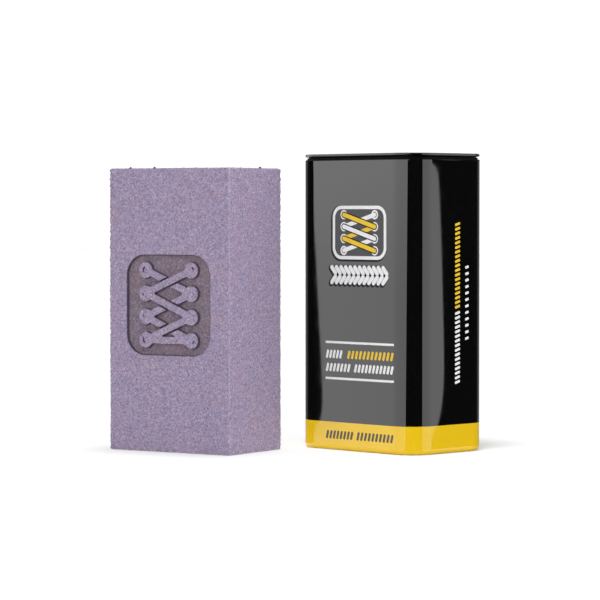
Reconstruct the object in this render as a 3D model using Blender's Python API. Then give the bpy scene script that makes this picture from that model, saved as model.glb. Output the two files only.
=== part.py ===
"""A suede eraser: an abrasive block with a sunk lacing badge, standing in front of its plug-lid tin.

Lengths are in metres and +Z is up. The tin's faces are square to X and Y with its front towards -Y.
The origin is under the middle of the whole set, on the surface that the set stands on.
"""

import math

import bmesh
import bpy
from mathutils import Matrix, Vector

# Eraser block
BLOCK_WIDTH = 0.0514
BLOCK_DEPTH = 0.0326
BLOCK_HEIGHT = 0.0998
BLOCK_EDGE_RADIUS = 0.001
BLOCK_EDGE_STEPS = 3
ROUND_PROFILE = 0.5

# Badge sunk in the block's front face: a rounded pocket with raised lacing
BADGE_WIDTH = 0.036
BADGE_HEIGHT = 0.0355
BADGE_DEPTH = 0.0016
BADGE_CORNER_RADIUS = 0.0075
BADGE_CORNER_STEPS = 8
BADGE_ABOVE_MIDDLE = 0.0018
BADGE_LEFT_OF_MIDDLE = 0.0004
LACE_ROWS = 4
LACE_ROW_PITCH = 0.0082
LACE_COLUMN_SPACING = 0.0195
LACE_WIDTH = 0.0024
LACE_CROSSING_GAP = 0.0007
LACE_SHORT_OF_HOLE = 0.0005
LACE_END_STEPS = 6
EYELET_OUTER_RADIUS = 0.0028
EYELET_HOLE_RADIUS = 0.0014
EYELET_STEPS = 24
CUT_PAST_FACE = 0.001
LACING_FRONT = -2 * CUT_PAST_FACE
LACING_BACK = BADGE_DEPTH + CUT_PAST_FACE

# Sheet metal of the tin
SHEET = 0.00025
SEAT_GAP = 0.0003
CORNER_RADIUS = 0.0095
CORNER_STEPS = 10
BEND_STEPS = 4
LEAST_CORNER_RADIUS = 0.0005
SAME_POINT = 0.000001
SHARP_ANGLE = math.radians(35)

# Room round the block inside the tin
BLOCK_CLEARANCE = 0.00015
HEAD_ROOM = 0.00205

# Wall of the tin
FOOT_RADIUS = 0.0017
FOOT_FLANGE = 0.002
SHOULDER_RADIUS = 0.0004
GROOVE_HEIGHT = 0.00095

# Lock seam at the back of the wall
SEAM_FROM_SIDE = 0.0155
SEAM_WIDTH = 0.0035
SEAM_THICKNESS = 0.00075
SEAM_END_ROOM = 0.001
CREASE_WIDTH = 0.0004
CREASE_DEPTH = 0.00012

# Bottom pan
FLOOR_STEP_INSET = 0.004
FLOOR_STEP_HEIGHT = 0.0013
FLOOR_STEP_RADIUS = 0.0004

# Neck ring
NECK_HEIGHT = 0.015

# Lid
LID_RIM_HEIGHT = 0.00105
LID_RIM_ROUND = 0.00035
LID_PANEL_DROP = 0.0008
LID_SKIRT_DEPTH = 0.01
LID_STEP_INSET = 0.006
LID_STEP_HEIGHT = 0.0006
LID_STEP_RADIUS = 0.00015

# How the block stands beside the tin
BLOCK_TURN = math.radians(13.35)
BLOCK_FRONT_GAP = 0.0116
BLOCK_SIDE_STEP = 0.01635

# Insets from the outer face of the wall, each piece seated on the one outside it
NECK_OUTER = SHOULDER_RADIUS + SEAT_GAP
NECK_INNER = NECK_OUTER + SHEET
SKIRT_OUTER = NECK_INNER + SEAT_GAP
SKIRT_INNER = SKIRT_OUTER + SHEET

# The block's round edge clears the round corner of the lid's skirt by the block's clearance
CORNER_REACH = CORNER_RADIUS - SKIRT_INNER - BLOCK_EDGE_RADIUS
SIDE_ROOM = CORNER_REACH - (CORNER_REACH - BLOCK_CLEARANCE) / math.sqrt(2)
TIN_WIDTH = BLOCK_WIDTH + 2 * (SKIRT_INNER + SIDE_ROOM)
TIN_DEPTH = BLOCK_DEPTH + 2 * (SKIRT_INNER + SIDE_ROOM)

# Heights of the tin's pieces, from the standing surface upwards
PAN_FLANGE_TOP = SHEET + SEAT_GAP + SHEET
FLOOR_TOP = PAN_FLANGE_TOP + FLOOR_STEP_HEIGHT
LID_PANEL_BOTTOM = FLOOR_TOP + BLOCK_HEIGHT + HEAD_ROOM
LID_PANEL_TOP = LID_PANEL_BOTTOM + SHEET
TIN_HEIGHT = LID_PANEL_TOP + LID_PANEL_DROP
RIM_BOTTOM = TIN_HEIGHT - LID_RIM_HEIGHT
NECK_TOP = RIM_BOTTOM - SEAT_GAP
NECK_BOTTOM = NECK_TOP - NECK_HEIGHT
SHOULDER_TOP = RIM_BOTTOM - GROOVE_HEIGHT


def block_reach():
    """Half the X and Y extents of the turned block, whose upright edges are round."""
    across = BLOCK_WIDTH / 2 - BLOCK_EDGE_RADIUS
    along = BLOCK_DEPTH / 2 - BLOCK_EDGE_RADIUS
    cosine = abs(math.cos(BLOCK_TURN))
    sine = abs(math.sin(BLOCK_TURN))
    reach_x = across * cosine + along * sine + BLOCK_EDGE_RADIUS
    reach_y = across * sine + along * cosine + BLOCK_EDGE_RADIUS
    return reach_x, reach_y


def standing_places():
    """Where the tin and the block stand, with the origin under the middle of the whole set."""
    reach_x, reach_y = block_reach()
    block = Vector((0.0, 0.0, 0.0))
    block.x = -(TIN_WIDTH / 2 + BLOCK_SIDE_STEP)
    block.y = -(TIN_DEPTH / 2 + BLOCK_FRONT_GAP + reach_y)
    low_x = min(-TIN_WIDTH / 2, block.x - reach_x)
    high_x = max(TIN_WIDTH / 2, block.x + reach_x)
    low_y = block.y - reach_y
    high_y = TIN_DEPTH / 2
    middle = Vector(((low_x + high_x) / 2, (low_y + high_y) / 2, 0.0))
    return -middle, block - middle


def finish(name, colour, roughness, metallic):
    """A plain material with the piece's colour, roughness and metallic value."""
    material = bpy.data.materials.new(name)
    material.use_nodes = True
    shader = material.node_tree.nodes["Principled BSDF"]
    shader.inputs["Base Color"].default_value = (*colour, 1.0)
    shader.inputs["Roughness"].default_value = roughness
    shader.inputs["Metallic"].default_value = metallic
    return material


def add_object(name, mesh, parent, collection=None):
    """Turns the bmesh into an object that its carrier holds."""
    bmesh.ops.recalc_face_normals(mesh, faces=mesh.faces)
    if mesh.calc_volume(signed=True) < 0:
        bmesh.ops.reverse_faces(mesh, faces=mesh.faces)
    data = bpy.data.meshes.new(name)
    mesh.to_mesh(data)
    mesh.free()
    piece = bpy.data.objects.new(name, data)
    (collection or bpy.context.scene.collection).objects.link(piece)
    piece.parent = parent
    return piece


def add_sheet_piece(name, mesh, parent, material):
    """A piece of the tin, with its bends shaded smooth."""
    piece = add_object(name, mesh, parent)
    piece.data.materials.append(material)
    piece.data.shade_smooth()
    piece.data.set_sharp_from_angle(angle=SHARP_ANGLE)
    return piece


def add_cutter(name, mesh, parent, collection=None):
    """A helper that shapes another piece and isn't a piece itself."""
    cutter = add_object(name, mesh, parent, collection)
    cutter.hide_render = True
    cutter.display_type = "WIRE"
    return cutter


def add_boolean(piece, operation, other):
    boolean = piece.modifiers.new(other.name, "BOOLEAN")
    boolean.operation = operation
    if isinstance(other, bpy.types.Collection):
        boolean.operand_type = "COLLECTION"
        boolean.collection = other
    else:
        boolean.object = other


def add_carrier(name, place, turn=0.0):
    """An empty on the axis along which its pieces lift."""
    carrier = bpy.data.objects.new(name, None)
    bpy.context.scene.collection.objects.link(carrier)
    carrier.location = place
    carrier.rotation_euler = (0.0, 0.0, turn)
    return carrier


def rounded_rectangle(width, depth, radius, steps):
    """Points round a rounded rectangle about its middle, anticlockwise."""
    points = []
    for corner in range(4):
        side_x = 1 if corner in (0, 3) else -1
        side_y = 1 if corner in (0, 1) else -1
        for step in range(steps + 1):
            angle = (corner + step / steps) * math.pi / 2
            x = side_x * (width / 2 - radius) + radius * math.cos(angle)
            y = side_y * (depth / 2 - radius) + radius * math.sin(angle)
            points.append((x, y))
    return points


def circle(radius, steps):
    """Points round a circle about its middle, anticlockwise."""
    angles = [2 * math.pi * step / steps for step in range(steps)]
    return [(radius * math.cos(angle), radius * math.sin(angle)) for angle in angles]


def shell(rings, capped):
    """A closed shell through rings of points: it closes on itself, or on a flat cap at each end."""
    mesh = bmesh.new()
    loops = [[mesh.verts.new(point) for point in points] for points in rings]
    following = loops[1:] if capped else loops[1:] + loops[:1]
    for first, second in zip(loops, following):
        for i in range(len(first)):
            mesh.faces.new((first[i - 1], first[i], second[i], second[i - 1]))
    if capped:
        mesh.faces.new(loops[0])
        mesh.faces.new(loops[-1])
    return mesh


def bend(centre, radius, start, end):
    """Points of a bend in a section, as (inset, height), between two angles in degrees."""
    points = []
    for step in range(BEND_STEPS + 1):
        angle = math.radians(start + (end - start) * step / BEND_STEPS)
        inset = centre[0] + radius * math.cos(angle)
        height = centre[1] + radius * math.sin(angle)
        points.append((inset, height))
    return points


def panel_step(inset, low_top, rise, bend_radius):
    """Upper and lower faces of a step in a panel, each from the raised middle outwards.

    The two bends of the step share its rise, so their radius is at most half of what the sheet leaves.
    """
    small = min(bend_radius, (rise - SHEET) / 2)
    large = small + SHEET
    high_top = low_top + rise
    upper = bend((inset + large, high_top - large), large, 90, 180)
    upper += bend((inset - small, low_top + small), small, 360, 270)
    lower = bend((inset + large, high_top - SHEET - small), small, 90, 180)
    lower += bend((inset - small, low_top - SHEET + large), large, 360, 270)
    return upper, lower


def formed_sheet(section, capped=False):
    """Carries a section of (inset, height) points round the tin's outline.

    An inset counts inwards from the wall's outer face, and a point given twice running is used once.
    """
    rings = []
    last = None
    for inset, height in section:
        if last and math.dist(last, (inset, height)) < SAME_POINT:
            continue
        last = (inset, height)
        radius = max(CORNER_RADIUS - inset, LEAST_CORNER_RADIUS)
        outline = rounded_rectangle(TIN_WIDTH - 2 * inset, TIN_DEPTH - 2 * inset, radius, CORNER_STEPS)
        rings.append([(x, y, height) for x, y in outline])
    return shell(rings, capped)


def box(low, high):
    """A closed box between two opposite corners."""
    mesh = bmesh.new()
    size = Vector(high) - Vector(low)
    middle = (Vector(high) + Vector(low)) / 2
    place = Matrix.Translation(middle) @ Matrix.Diagonal((*size, 1.0))
    bmesh.ops.create_cube(mesh, size=1.0, matrix=place)
    return mesh


def build_wall(tin, material):
    """The wrapped wall: a foot flange, a shoulder, and a lock seam folded inside at the back."""
    foot_end = FOOT_RADIUS + FOOT_FLANGE
    foot_centre = (FOOT_RADIUS, FOOT_RADIUS)
    shoulder_centre = (SHOULDER_RADIUS, SHOULDER_TOP - SHOULDER_RADIUS)
    section = [(foot_end, 0.0)]
    section += bend(foot_centre, FOOT_RADIUS, 270, 180)
    section += bend(shoulder_centre, SHOULDER_RADIUS, 180, 90)
    section += bend(shoulder_centre, SHOULDER_RADIUS - SHEET, 90, 180)
    section += bend(foot_centre, FOOT_RADIUS - SHEET, 180, 270)
    section.append((foot_end, SHEET))
    wall = add_sheet_piece("tin_wall", formed_sheet(section), tin, material)

    seam_x = -TIN_WIDTH / 2 + SEAM_FROM_SIDE
    inner_face = TIN_DEPTH / 2 - SHEET
    low = (seam_x - SEAM_WIDTH / 2, inner_face - SEAM_THICKNESS, FLOOR_TOP + SEAM_END_ROOM)
    high = (seam_x + SEAM_WIDTH / 2, inner_face + SHEET / 2, NECK_BOTTOM - SEAM_END_ROOM)
    add_boolean(wall, "UNION", add_cutter("seam_fold", box(low, high), tin))
    low = (seam_x - CREASE_WIDTH / 2, TIN_DEPTH / 2 - CREASE_DEPTH, FOOT_RADIUS)
    high = (seam_x + CREASE_WIDTH / 2, TIN_DEPTH / 2 + CUT_PAST_FACE, SHOULDER_TOP - SHOULDER_RADIUS)
    add_boolean(wall, "DIFFERENCE", add_cutter("seam_crease", box(low, high), tin))


def build_bottom(tin, material):
    """The bottom pan: a flange that lies on the wall's foot flange, and a raised floor."""
    upper, lower = panel_step(FLOOR_STEP_INSET, PAN_FLANGE_TOP, FLOOR_STEP_HEIGHT, FLOOR_STEP_RADIUS)
    edge = [(FOOT_RADIUS, PAN_FLANGE_TOP), (FOOT_RADIUS, PAN_FLANGE_TOP - SHEET)]
    add_sheet_piece("tin_bottom", formed_sheet(upper + edge + lower[::-1], capped=True), tin, material)


def build_neck_ring(tin, material):
    """The inner sleeve that the lid plugs into, with a round upper edge."""
    top_centre = ((NECK_OUTER + NECK_INNER) / 2, NECK_TOP - SHEET / 2)
    section = [(NECK_INNER, NECK_BOTTOM), (NECK_OUTER, NECK_BOTTOM)]
    section += bend(top_centre, SHEET / 2, 180, 0)
    add_sheet_piece("tin_neck_ring", formed_sheet(section), tin, material)


def build_lid(carrier, material):
    """The plug lid: a stepped panel inside a rolled rim, with the skirt below the rim."""
    rim_radius = LID_RIM_HEIGHT / 2
    rim_inner = SKIRT_INNER + SHEET
    rim_round = min(LID_RIM_ROUND, LID_PANEL_DROP / 2)
    fillet = LID_PANEL_DROP - rim_round
    skirt_bottom = RIM_BOTTOM - LID_SKIRT_DEPTH
    upper, lower = panel_step(LID_STEP_INSET, LID_PANEL_TOP, LID_STEP_HEIGHT, LID_STEP_RADIUS)
    section = upper
    section += bend((rim_inner + fillet, LID_PANEL_TOP + fillet), fillet, 270, 180)
    section += bend((rim_inner - rim_round, TIN_HEIGHT - rim_round), rim_round, 0, 90)
    section += bend((rim_radius, RIM_BOTTOM + rim_radius), rim_radius, 90, 270)
    section += [(SKIRT_OUTER, RIM_BOTTOM), (SKIRT_OUTER, skirt_bottom)]
    section += [(SKIRT_INNER, skirt_bottom), (SKIRT_INNER, LID_PANEL_BOTTOM)]
    section += lower[::-1]
    add_sheet_piece("tin_lid", formed_sheet(section, capped=True), carrier, material)


def badge_point(x, z):
    """A point of the badge as (across, up) on the block's front face."""
    return Vector((x - BADGE_LEFT_OF_MIDDLE, z + BLOCK_HEIGHT / 2 + BADGE_ABOVE_MIDDLE))


def slab(outline, front, back):
    """An outline on the block's front face, carried between two depths below the face."""
    face = -BLOCK_DEPTH / 2
    return shell([[(x, face + depth, z) for x, z in outline] for depth in (front, back)], capped=True)


def round_end(centre, heading):
    """The half circle that ends a lace at a centre, where the lace comes from along a heading."""
    start = math.atan2(heading.y, heading.x) - math.pi / 2
    points = []
    for step in range(LACE_END_STEPS + 1):
        angle = start + math.pi * step / LACE_END_STEPS
        points.append(centre + LACE_WIDTH / 2 * Vector((math.cos(angle), math.sin(angle))))
    return points


def whole_lace(start, end):
    """Outline of a lace between two eyelets, a little short of each hole's middle."""
    heading = (end - start).normalized()
    first = start + heading * LACE_SHORT_OF_HOLE
    last = end - heading * LACE_SHORT_OF_HOLE
    return round_end(first, -heading) + round_end(last, heading)


def half_lace(start, end, over_heading):
    """Outline of a lace from its eyelet to just short of the lace that crosses over its middle."""
    heading = (end - start).normalized()
    side = Vector((-heading.y, heading.x)) * LACE_WIDTH / 2
    over_side = Vector((-over_heading.y, over_heading.x))
    if over_side.dot(heading) < 0:
        over_side = -over_side
    reach = LACE_WIDTH / 2 + LACE_CROSSING_GAP
    middle = (start + end) / 2
    outline = round_end(start + heading * LACE_SHORT_OF_HOLE, -heading)
    for edge in (-side, side):
        travel = (-reach - edge.dot(over_side)) / heading.dot(over_side)
        outline.append(middle + edge + heading * travel)
    return outline


def eyelet(centre):
    """A round eyelet with its hole."""
    face = -BLOCK_DEPTH / 2
    outer = circle(EYELET_OUTER_RADIUS, EYELET_STEPS)
    hole = circle(EYELET_HOLE_RADIUS, EYELET_STEPS)
    rings = []
    for points, depths in ((outer, (LACING_FRONT, LACING_BACK)), (hole, (LACING_BACK, LACING_FRONT))):
        for depth in depths:
            rings.append([(centre.x + x, face + depth, centre.y + z) for x, z in points])
    return shell(rings, capped=False)


def eyelet_place(row, side):
    """The middle of an eyelet: rows count upwards, and side is -1 at the left and 1 at the right."""
    return badge_point(side * LACE_COLUMN_SPACING / 2, (row - (LACE_ROWS - 1) / 2) * LACE_ROW_PITCH)


def lace_outlines():
    """A bar across the lowest row, and between rows one lace over the two halves of another."""
    outlines = [whole_lace(eyelet_place(0, -1), eyelet_place(0, 1))]
    for row in range(LACE_ROWS - 1):
        side = -1 if row % 2 else 1
        over = (eyelet_place(row, -side), eyelet_place(row + 1, side))
        under = (eyelet_place(row, side), eyelet_place(row + 1, -side))
        heading = (over[1] - over[0]).normalized()
        outlines.append(whole_lace(*over))
        outlines.append(half_lace(*under, heading))
        outlines.append(half_lace(*under[::-1], heading))
    return outlines


def build_pocket(carrier):
    """The cutter of the badge: a rounded pocket, less the lacing that stays standing in it."""
    lacing = bpy.data.collections.new("badge_lacing")
    bpy.context.scene.collection.children.link(lacing)
    for row in range(LACE_ROWS):
        for side in (-1, 1):
            add_cutter("badge_eyelet", eyelet(eyelet_place(row, side)), carrier, lacing)
    for outline in lace_outlines():
        add_cutter("badge_lace", slab(outline, LACING_FRONT, LACING_BACK), carrier, lacing)
    outline = rounded_rectangle(BADGE_WIDTH, BADGE_HEIGHT, BADGE_CORNER_RADIUS, BADGE_CORNER_STEPS)
    pocket_mesh = slab([badge_point(x, z) for x, z in outline], -CUT_PAST_FACE, BADGE_DEPTH)
    pocket = add_cutter("badge_pocket", pocket_mesh, carrier)
    add_boolean(pocket, "DIFFERENCE", lacing)
    return pocket


def build_block(carrier, material):
    """The abrasive block, with a small round on every edge and the badge sunk in its front."""
    low = (-BLOCK_WIDTH / 2, -BLOCK_DEPTH / 2, 0.0)
    high = (BLOCK_WIDTH / 2, BLOCK_DEPTH / 2, BLOCK_HEIGHT)
    mesh = box(low, high)
    rounding = {"offset": BLOCK_EDGE_RADIUS, "segments": BLOCK_EDGE_STEPS, "profile": ROUND_PROFILE}
    bmesh.ops.bevel(mesh, geom=mesh.edges[:], affect="EDGES", **rounding)
    block = add_object("eraser_block", mesh, carrier)
    block.data.materials.append(material)
    add_boolean(block, "DIFFERENCE", build_pocket(carrier))


def main():
    for leftover in list(bpy.data.objects):
        bpy.data.objects.remove(leftover, do_unlink=True)
    lacquer = finish("black_lacquer", (0.008, 0.008, 0.009), 0.12, 0.0)
    tinplate = finish("tinplate", (0.60, 0.60, 0.58), 0.30, 1.0)
    abrasive = finish("lilac_abrasive", (0.34, 0.27, 0.40), 0.95, 0.0)
    tin_place, block_place = standing_places()
    tin = add_carrier("tin_carrier", tin_place)
    build_wall(tin, lacquer)
    build_bottom(tin, tinplate)
    build_neck_ring(tin, lacquer)
    build_lid(add_carrier("lid_carrier", tin_place), lacquer)
    build_block(add_carrier("block_carrier", block_place, BLOCK_TURN), abrasive)


main()
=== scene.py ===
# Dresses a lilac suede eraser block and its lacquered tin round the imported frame
import math
import random

import bmesh
import bpy
from bpy.props import FloatProperty, FloatVectorProperty, IntProperty, PointerProperty
from mathutils import Matrix, Vector


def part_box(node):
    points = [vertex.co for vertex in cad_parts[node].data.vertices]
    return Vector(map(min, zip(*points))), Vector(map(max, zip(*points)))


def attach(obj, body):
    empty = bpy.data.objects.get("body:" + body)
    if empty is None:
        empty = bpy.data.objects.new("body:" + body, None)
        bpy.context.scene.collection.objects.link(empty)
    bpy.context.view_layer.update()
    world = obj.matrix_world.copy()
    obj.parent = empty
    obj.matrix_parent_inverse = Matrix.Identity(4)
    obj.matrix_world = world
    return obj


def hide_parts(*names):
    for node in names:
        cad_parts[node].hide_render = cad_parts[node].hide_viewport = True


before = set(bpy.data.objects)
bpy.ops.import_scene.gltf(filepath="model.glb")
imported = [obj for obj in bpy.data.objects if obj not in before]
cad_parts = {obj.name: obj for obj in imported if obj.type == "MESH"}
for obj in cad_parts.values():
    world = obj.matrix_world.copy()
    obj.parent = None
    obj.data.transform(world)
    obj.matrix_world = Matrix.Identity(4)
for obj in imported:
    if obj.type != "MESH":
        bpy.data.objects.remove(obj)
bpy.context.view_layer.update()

bl_info = {
    "name": "Suede Eraser and Tin",
    "version": (1, 0, 0),
    "blender": (4, 5, 0),
    "location": "View3D > Sidebar > Eraser",
    "description": "Models and finishes a suede eraser block and the lacquered tin that it is kept in",
    "category": "Add Mesh",
}

# Places taken from the frame
BLOCK_LOW, BLOCK_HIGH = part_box("eraser_block")
WALL_LOW, WALL_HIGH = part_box("tin_wall")
LID_LOW, LID_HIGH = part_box("tin_lid")
NECK_LOW, NECK_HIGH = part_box("tin_neck_ring")
PAN_LOW, PAN_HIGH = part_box("tin_bottom")
BLOCK_HALF_HEIGHT = (BLOCK_HIGH.z - BLOCK_LOW.z) / 2
BLOCK_MIDDLE = (BLOCK_LOW + BLOCK_HIGH) / 2
TIN_HALF = (WALL_HIGH - WALL_LOW) / 2
TIN_MIDDLE = (WALL_LOW + WALL_HIGH) / 2

# Tolerances
SAME_PLACE = 0.000001
NEAR_PLACE = 0.00002
SMOOTH_ANGLE = math.radians(35)
INK_SMOOTH_ANGLE = math.radians(20)

# Limits of a face's direction: along Z for one that looks up or down, along Y for the front
FACES_UP = 0.05
FACES_DOWN = -0.5
FACES_FRONT = -0.99

# Bends, slices and lock seam of the tin
BEND_STEPS = 8
PANEL_SLICES_ACROSS = 16
PANEL_SLICES_UP = 28
SEAM_END_ROOM = 0.001
SEAM_ROUNDING = 0.45
SEAM_RIB_INSET = 0.12
ROUNDING_STEPS = 6
SHOULDER_RUBBED = 0.95

# The block's material: grains in a metre, their tones, and lightness against the block's colour
CRUMB_GRAINS = 1900.0
SPECK_GRAINS = 2300.0
FINE_GRAINS = 2900.0
CRUMB_TONES = (0.77, 1.22)
FINE_TONES = (0.77, 1.21)
# Lightness of the pale specks along the edges: rubbed wear plus a painted highlight where the edges round
# over
WORN_AND_HIGHLIGHT_LIGHTNESS = 1.65
# Lightness of the painted shade on the sunk badge's upright walls
UPRIGHT_SHADE_LIGHTNESS = 0.08

# Specks in the crumb, as (channel of the grain's tone, cover, start and end in that tone, lightness)
SPECKS = (("Green", 0.55, 0.975, 0.985, 0.25), ("Blue", 0.5, 0.95, 0.97, 2.0))

# The block's sunk badge, from the middle of its front face
SUNK_BADGE_PLACE = Vector((-0.0004, 0.0018))
SUNK_BADGE_REACH = Vector((0.0185, 0.0182))
FRONT_MARGIN = 0.004
FRONT_HOLLOW = 0.003
# Tint of the sunk badge's floor: greyer pressed skin plus painted shade from the recess
PRESSED_TINT_AND_SHADE = (0.67, 0.635, 0.56)

# The block's edges and grain: faces round an edge, and the tones that leave the surface where it is
EDGE_STEPS = 4
GRAIN_MIDDLE = 0.4
CHIP_MIDDLE = 0.5

# Crumbs that cling to the upper edges, as (share of the half side, side of the block)
CRUMB_PLACES = ((-0.654, "front"), (-0.25, "front"), (0.223, "right"))
CRUMB_SEED = 7
CRUMB_INSET = 0.0005
CRUMB_SIZES = (0.0004, 0.00052)
CRUMB_STRETCH = (0.7, 1.2)
CRUMB_LIFT = 0.3
CRUMB_LUMPS = 0.8

# Printed marks: how finely they follow the wall, where they start, and how round they can be
INK_SLICE_WIDTH = 0.0028
INK_SLICE_HEIGHT = 0.004
INK_STAND_OFF = 0.002
MOST_ROUNDING = 0.499
RING_POINTS = 28
OUTLINE_WIDTH = 0.0004
SHADOW_SHIFT = Vector((-0.00045, -0.00035))

# Lacing badge on the front: places run from the middle of the face and from the surface it stands on
BADGE_PLACE = Vector((0.0035, 0.0772))
BADGE_SIZE = Vector((0.0264, 0.0189))
BADGE_ROUNDING = 0.0042
BADGE_FRAME = 0.0012
BADGE_ROWS = 4
EYELET_PITCH = 0.0042
EYELET_REACH = 0.0076
EYELET_RADIUS = 0.00165
EYELET_RIM = 0.0006
LACE_WIDTH = 0.0015
LACE_OUTLINE = 0.0004

# Plaited lace band below the badge
PLAIT_START = -0.0104
PLAIT_END = 0.0172
PLAIT_PLACE = 0.06225
PLAIT_STRANDS = 12
PLAIT_ROW_SHIFT = 0.00165
PLAIT_LENGTH = 0.0043
PLAIT_WIDTH = 0.0016
PLAIT_LEAN = math.radians(48)

# Rules and stitches on the front
RULE_START = -0.0133
RULE_END = 0.0204
RULE_WIDTH = 0.0008
RULE_PLACES = (0.0383, 0.0255)
STITCH_LEAN = math.radians(16)
STITCH_PITCH = 0.00185
STITCH_LENGTH = 0.003
STITCH_WIDTH = 0.00105

# Rows of stitches: piece, ink and runs of (start, end, height) across the front
ROW_EDGE = STITCH_WIDTH / 2 + STITCH_LENGTH * math.sin(STITCH_LEAN) / 2
ROW_START = RULE_START + ROW_EDGE
ROW_END = RULE_END - ROW_EDGE
UPPER_ROW = 0.0341
LOWER_ROW = 0.0294
BAND_ROW = 0.0055
STITCH_ROWS = (
    ("stitches_white", "white",
     ((ROW_START, -0.0056, UPPER_ROW), (ROW_START, -0.0016, LOWER_ROW), (0.0018, ROW_END, LOWER_ROW))),
    ("stitches_yellow", "yellow", ((-0.0016, ROW_END, UPPER_ROW),)),
    ("band_stitches", "brown", ((ROW_START, -0.0002, BAND_ROW), (0.0030, ROW_END, BAND_ROW))),
)

# Lines of stitches up the side: piece, ink, stitch length, place across, start, end and pitch
SIDE_STITCH_WIDTH = STITCH_WIDTH * 0.85
SIDE_LINES = (
    ("side_stitches_white", "white", 0.0026, 0.0027, 0.0249, 0.0491, 0.0016),
    ("side_stitches_yellow", "yellow", 0.0026, 0.0027, 0.0513, 0.0802, 0.0016),
    ("side_dashes_white", "white", 0.0018, 0.0076, 0.0401, 0.0651, 0.0023),
)

# Roughness and gloss of each printing ink
INKS = {
    "white": (0.3, 0.35),
    "yellow": (0.3, 0.35),
    "grey": (0.45, 0.2),
    "outline": (0.5, 0.1),
    "brown": (0.3, 0.35),
}

# Screens that only the gloss shows: azimuths in degrees, counted anticlockwise from GLOSS_START
GLOSS_START = 80.0
WIDE_SCREEN = (143.4, 214.5)
WIDE_SCREEN_SLANT = 1.35
SLANT_REACH = 8.0
WIDE_LIGHT = 2.6
WIDE_LIGHT_RISE = 1.18
WIDE_LIGHT_HEIGHTS = (-1.6, 0.8)
NARROW_SCREEN = (279.7, 326.0)
NARROW_LIGHT = 2.28
SCREEN_HEIGHT = (-34.0, 48.0)
SCREEN_HEIGHT_SOFT = 24.0
SCREEN_SOFT = 0.02
NARROW_SOFT = 0.1
WIDE_SPREADING = 60.0
NARROW_SPREADING = 32.0
SPREADING_START = (5.0, 13.0)
BACKDROP = (8.0, 104.0)
BACKDROP_SOFT = 16.0
BACKDROP_LIGHT = 0.27
DARK_LIGHT = 0.02
SEEN_LIGHT = 1.08
CEILING_LIGHT = 1.1
CEILING_START = (45.0, 65.0)

# Lamps: where each one stands and its width
KEY_PLACE = Vector((1.05, -0.95, 1.15))
KEY_WIDTH = 0.9
SIDE_LAMP_PLACE = Vector((0.332, 0.272, 0.237))
SIDE_LAMP_WIDTH = 0.25
EDGE_LAMP_PLACE = Vector((-0.47, -0.06, 0.12))
EDGE_LAMP_WIDTH = 0.2
TIN_SUN_PLACE = Vector((0.1246, -0.2596, 1.0))
BLOCK_SUN_PLACE = Vector((0.0057, 0.0779, 1.0))
SUN_ANGLE = math.radians(16)
TABLE_MIDDLE = Vector((0.0, 0.0, 0.0))
TABLE_SIZE = 8.0

# The camera's sensor in millimetres, and the nearest and furthest that it sees
SENSOR_WIDTH = 36.0
CLIP_START = 0.01
CLIP_END = 20.0


def metres(name, description, default):
    """A length that can be set in the sidebar."""
    return FloatProperty(name=name, description=description, default=default, precision=6,
                         subtype="DISTANCE", unit="LENGTH")


def degrees(name, description, default):
    """An angle that can be set in the sidebar."""
    return FloatProperty(name=name, description=description, default=math.radians(default),
                         subtype="ANGLE", unit="ROTATION")


def fraction(name, description, default, least=0.0):
    """A share of a whole that can be set in the sidebar."""
    return FloatProperty(name=name, description=description, default=default,
                         subtype="FACTOR", min=least, max=1.0)


def hue(name, description, default):
    """A colour that can be set in the sidebar."""
    return FloatVectorProperty(name=name, description=description, default=default,
                               subtype="COLOR", min=0.0, max=1.0)


def strength(name, description, default, unit="NONE"):
    """The strength of a light that can be set in the sidebar."""
    return FloatProperty(name=name, description=description, default=default, unit=unit)


class EraserBlockSizes(bpy.types.PropertyGroup):
    """Sizes of the abrasive block's surface."""

    turn: degrees("Turn", "How far the block stands turned, seen from above", 13.35)
    width: metres("Width", "Width of the block's front face", 0.0514)
    depth: metres("Depth", "Depth of the block from front to back", 0.0326)
    badge_depth: metres("Badge Depth", "How deep the badge is sunk in the front face", 0.0016)
    edge_radius: metres("Edge Radius", "Radius of the block's edges before they are chipped", 0.00045)
    mesh_size: metres("Mesh Size", "Size of the mesh that the grain is first raised on", 0.0003)
    mesh_kept: fraction("Mesh Kept", "Share of that mesh that is kept", 0.4, least=0.05)
    grain_size: metres("Grain Size", "Size of the larger grains in the surface", 0.0008)
    grain_depth: metres("Grain Depth", "How deep the gaps between the grains go", 0.00022)
    edge_wear: metres("Edge Wear", "How deep the edges are chipped", 0.001)
    edge_reach: metres("Edge Reach", "How far from an edge the chipping reaches", 0.0009)


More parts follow.
